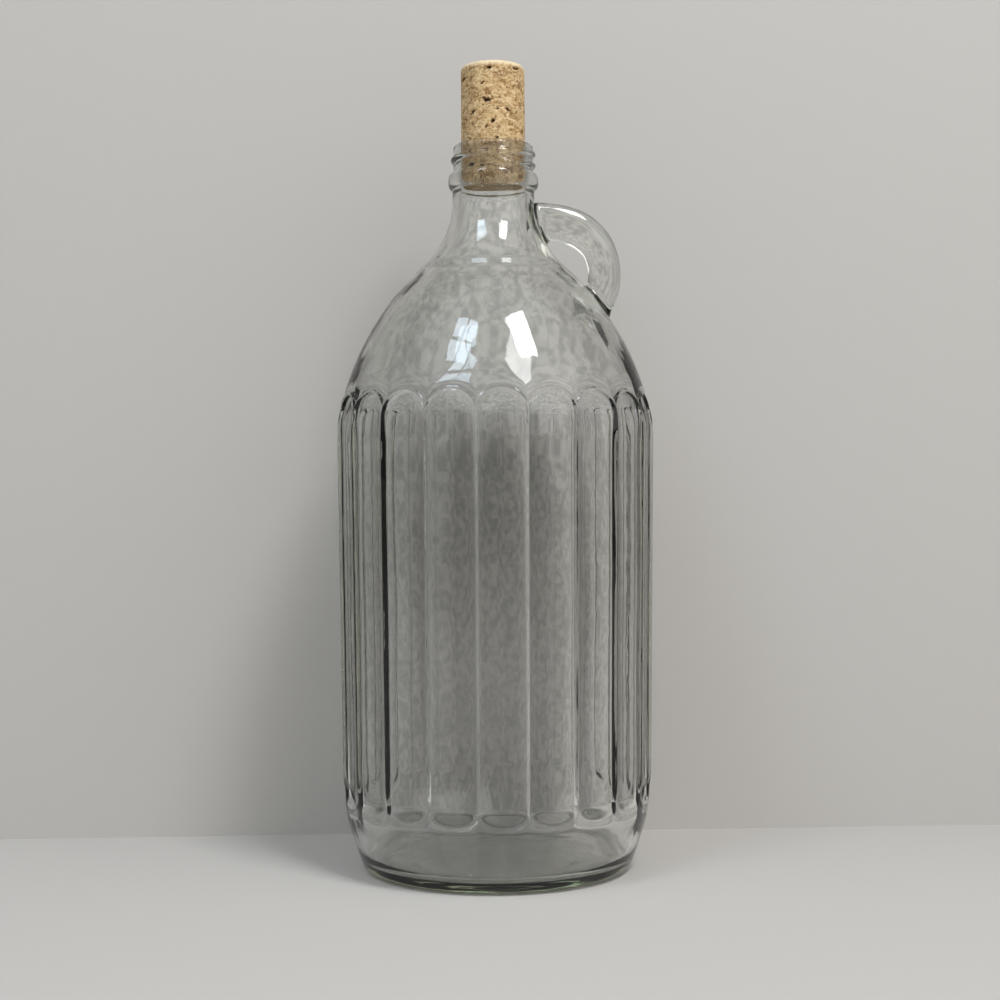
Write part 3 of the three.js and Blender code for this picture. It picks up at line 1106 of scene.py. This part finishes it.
        points = turned(outline)
        shape = points.shape[:2]
        listed = points.reshape(-1, 3)
        seam, shade = (v.reshape(shape) for v in self.granules(listed, rng))
        pit = self.open_pits(self.bent(listed, rng), rng).reshape(shape)
        rim = 0.25 + 0.75 * smooth_step(self.radius - 3.4, self.radius - 1.4, outline[:, :1])
        worn = np.broadcast_to(rim * smooth_step(self.top - 2.6, self.top - 0.9, outline[:, 1:]), shape)
        sunk = self.seam_depth * seam + self.pit_depth * pit + self.shade_depth * (1.0 - shade)
        points = points - turned(outward) * sunk[..., None]
        first = np.array([0.0, 0.0, self.bottom + 0.05])
        last = np.array([0.0, 0.0, self.top - 0.05])
        cork = closed_mesh("cork_granulated", points * MM, first * MM, last * MM)
        for name, values in (("seam", seam), ("shade", shade), ("pit", pit), ("worn", worn)):
            whole = np.append(values.ravel(), (values[0, 0], values[-1, 0])).astype(np.float32)
            cork.data.attributes.new(name, "FLOAT", "POINT").data.foreach_set("value", whole)
        cork.data.materials.append(finish)
        return cork


# ---- Floor, light and camera ----


def direction(azimuth: float, elevation: float) -> Vector:
    """Unit vector towards an azimuth, 0 being -Y and 90 being +X, and an elevation, in degrees.

    Args:
        azimuth: The azimuth.
        elevation: The elevation.

    Returns:
        The vector.
    """
    a, e = math.radians(azimuth), math.radians(elevation)
    return Vector((math.sin(a) * math.cos(e), -math.cos(a) * math.cos(e), math.sin(e)))


@dataclass(frozen=True)
class Softbox:
    """A soft lamp that faces the jug. Its direction is in degrees, its sizes are in metres."""

    azimuth: float
    elevation: float
    distance: float
    width: float
    height: float
    power: float
    colour: Colour
    panes: int = 1


class Lamp(Enum):
    """The lamps of the studio: a paned window, a plain one, and the light of the room."""

    LEFT_WINDOW = Softbox(-39.0, 54.0, 1.6, 0.42, 0.60, 4.8, (0.70, 0.86, 1.0), panes=2)
    RIGHT_WINDOW = Softbox(31.0, 57.0, 1.6, 0.40, 0.66, 13.0, (0.97, 0.98, 1.0))
    ROOM = Softbox(38.0, 24.0, 2.2, 2.4, 1.6, 8.0, (1.0, 0.97, 0.93))


@dataclass
class Studio:
    """A pale floor and backdrop, soft light, and the camera."""

    jug: GlassJug
    centre_height: float
    floor_reach: float = 12.0
    floor_drop: float = 0.0002
    wall_height: float = 3.0
    wall_gap: float = 0.006
    tone: Colour = (0.57, 0.547, 0.518)
    # Painted shade on the backdrop, seen only through the glass: where it starts and ends across X, and
    # how bright the tone stays at the sides.
    painted_shade_from: float = 0.060
    painted_shade_to: float = 0.150
    painted_shade_level: float = 0.55
    mottled: float = 0.32
    tuft_scale: float = 280.0
    tuft_span: Point = (0.38, 0.62)
    pane_share: float = 0.86
    backdrop: Colour = (0.41, 0.40, 0.385)
    room_strength: float = 0.80
    room_shades: tuple[tuple[float, Colour], ...] = (
        (0.30, (0.15, 0.15, 0.145)), (0.54, (0.28, 0.28, 0.27)),
        (0.72, (0.60, 0.62, 0.63)), (1.0, (1.0, 1.0, 1.0)),
    )
    camera_distance: float = 0.6405
    camera_height: float = 0.1376
    camera_azimuth: float = -2.5
    camera_aside: float = 0.0018
    camera_roll: float = 0.35
    lens: float = 61.2

    def stage_material(self, name: str, one_sided: bool) -> Material:
        """Matt pale paper.

        A one-sided sheet isn't there for rays that meet its back. Seen through the glass, and only
        there, it has painted shade that darkens it towards its sides, as if dark cards stood there, and
        is mottled like a woven ground, which gives clear glass its dark edges and shows how it bends
        what lies behind it.

        Args:
            name: The material's name.
            one_sided: Whether it is for a one-sided sheet.

        Returns:
            The new material.
        """
        material, nodes, shader, output = new_material(name)
        shader.inputs["Base Color"].default_value = (*self.tone, 1.0)
        shader.inputs["Roughness"].default_value = 0.95
        shader.inputs["Specular IOR Level"].default_value = 0.0
        if one_sided:
            spot = nodes.add("ShaderNodeTexCoord").outputs["Object"]
            place = nodes.add("ShaderNodeSeparateXYZ", {"Vector": spot})
            off = nodes.math("ABSOLUTE", place.outputs["X"])
            # Painted shade: the paper darkens with its distance from the jug's axis, as if dark cards
            # stood beside the jug.
            aside = nodes.add("ShaderNodeMapRange", {
                "Value": off, "From Min": self.painted_shade_from, "From Max": self.painted_shade_to,
                "To Max": 1.0 - self.painted_shade_level})
            seen = nodes.add("ShaderNodeLightPath").outputs["Is Camera Ray"]
            tufts = nodes.add("ShaderNodeTexNoise", {
                "Vector": spot, "Scale": self.tuft_scale, "Detail": 2.0, "Roughness": 0.55})
            low, high = self.tuft_span
            spread = nodes.add("ShaderNodeMapRange", {
                "Value": tufts.outputs["Fac"], "From Min": low, "From Max": high,
                "To Max": self.mottled})
            shaded = nodes.math("ADD", aside.outputs[0], spread.outputs[0])
            # Camera rays see the plain tone; other rays, such as those through the glass, get the
            # painted shade and the mottle.
            dim = nodes.math("MULTIPLY", shaded, nodes.math("SUBTRACT", 1.0, seen))
            # The paper's tone, darkened towards black by the painted shade and the mottle.
            paper = nodes.mix(dim, (*self.tone, 1.0), (0.0, 0.0, 0.0, 1.0))
            nodes.feed(shader.inputs["Base Color"], paper)
            clear = nodes.add("ShaderNodeBsdfTransparent")
            back = nodes.add("ShaderNodeNewGeometry").outputs["Backfacing"]
            mix = nodes.add("ShaderNodeMixShader", {
                0: back, 1: shader.outputs["BSDF"], 2: clear.outputs[0]})
            nodes.feed(output.inputs["Surface"], mix.outputs[0])
        return material

    def sheet(self, name: str, rows: list[Point], material: Material) -> None:
        """A wide sheet through (y, z) points that faces the camera's side.

        Args:
            name: The sheet's name.
            rows: The points it runs through, from the floor up or from front to back.
            material: Its paper.
        """
        half = self.floor_reach
        points = [(x, y, z) for y, z in rows for x in (-half, half)]
        faces = [(2 * i, 2 * i + 1, 2 * i + 3, 2 * i + 2) for i in range(len(rows) - 1)]
        mesh = bpy.data.meshes.new(name)
        mesh.from_pydata(points, [], faces)
        mesh.materials.append(material)
        mesh.polygons.foreach_set("use_smooth", [True] * len(faces))
        linked(name, mesh)

    def lay_floor(self) -> None:
        """The floor, and the one-sided backdrop that stands close behind the jug."""
        back = self.jug.body_top_radius * MM + self.wall_gap
        reach, level = self.floor_reach, -self.floor_drop
        self.sheet("floor", [(-reach, level), (reach, level)], self.stage_material("floor_paper", False))
        # The backdrop's paper carries painted shade towards its sides for rays that come through the
        # glass.
        self.sheet("backdrop", [(back, level), (back, self.wall_height)],
                   self.stage_material("backdrop_paper", True))

    def light(self) -> None:
        """Two tall windows, a broad soft lamp and a pale world."""
        target = Vector((0.0, 0.0, self.centre_height))
        for lamp in Lamp:
            box, panes = lamp.value, lamp.value.panes
            outward = direction(box.azimuth, box.elevation)
            turn = (-outward).to_track_quat("-Z", "Y").to_matrix().to_4x4()
            place = Matrix.Translation(target + outward * box.distance) @ turn
            for column in range(panes):
                for row in range(panes):
                    name = f"{lamp.name.lower()}_{column}_{row}"
                    data = bpy.data.lights.new(name, "AREA")
                    data.shape = "RECTANGLE"
                    data.size = box.width / panes * self.pane_share
                    data.size_y = box.height / panes * self.pane_share
                    data.energy = box.power / panes**2
                    data.color = box.colour
                    across, up = ((n + 0.5) / panes - 0.5 for n in (column, row))
                    shift = Vector((across * box.width, up * box.height, 0.0))
                    linked(name, data).matrix_world = place @ Matrix.Translation(shift)
        world = bpy.data.worlds.new("room")
        world.use_nodes = True
        nodes = Nodes(world.node_tree)
        place = nodes.add("ShaderNodeTexCoord").outputs["Generated"]
        level = nodes.add("ShaderNodeSeparateXYZ", {"Vector": place})
        shade = nodes.ramp(nodes.math("MULTIPLY_ADD", level.outputs["Z"], 0.5, 0.5), self.room_shades)
        seen = nodes.add("ShaderNodeLightPath").outputs["Is Camera Ray"]
        background = world.node_tree.nodes["Background"]
        nodes.feed(background.inputs["Color"], nodes.mix(seen, shade, (*self.backdrop, 1.0)))
        background.inputs["Strength"].default_value = self.room_strength
        bpy.context.scene.world = world

    def place_camera(self) -> None:
        """The camera, level with the middle of the body and square to the jug's axis."""
        data = bpy.data.cameras.new("camera")
        data.lens = self.lens
        data.sensor_width = 36.0
        data.clip_start = 0.01
        camera = linked("camera", data)
        outward = direction(self.camera_azimuth, 0.0)
        aside = Vector((-outward.y, outward.x, 0.0)) * self.camera_aside
        level = Vector((0.0, 0.0, self.camera_height))
        turn = (-outward).to_track_quat("-Z", "Y").to_matrix().to_4x4()
        roll = Matrix.Rotation(math.radians(-self.camera_roll), 4, "Z")
        spot = outward * self.camera_distance + aside + level
        camera.matrix_world = Matrix.Translation(spot) @ turn @ roll
        bpy.context.scene.camera = camera


def main() -> None:
    """Loads the frame, builds the two pieces and their surroundings, and reports each."""
    logging.basicConfig(level=logging.INFO, format="%(message)s")
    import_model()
    relief = relief_group()

    jug_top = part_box("glass_jug")[1].z / MM
    jug = GlassJug(height=jug_top)
    glass = jug.build(GlassFinish().build(relief))
    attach(glass, "jug")
    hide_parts("glass_jug")
    log.info("glass jug: %d faces", len(glass.data.polygons))

    low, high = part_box("cork_stopper")
    stopper = CorkStopper(radius=high.x / MM, bottom=low.z / MM, top=high.z / MM)
    cork = stopper.build(CorkFinish().build(relief))
    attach(cork, "stopper")
    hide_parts("cork_stopper")
    log.info("cork: %d faces", len(cork.data.polygons))

    studio = Studio(jug=jug, centre_height=0.5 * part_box("glass_jug")[1].z)
    studio.lay_floor()
    studio.light()
    studio.place_camera()
    bpy.context.scene.view_settings.view_transform = "Standard"


if __name__ == "__main__":
    main()
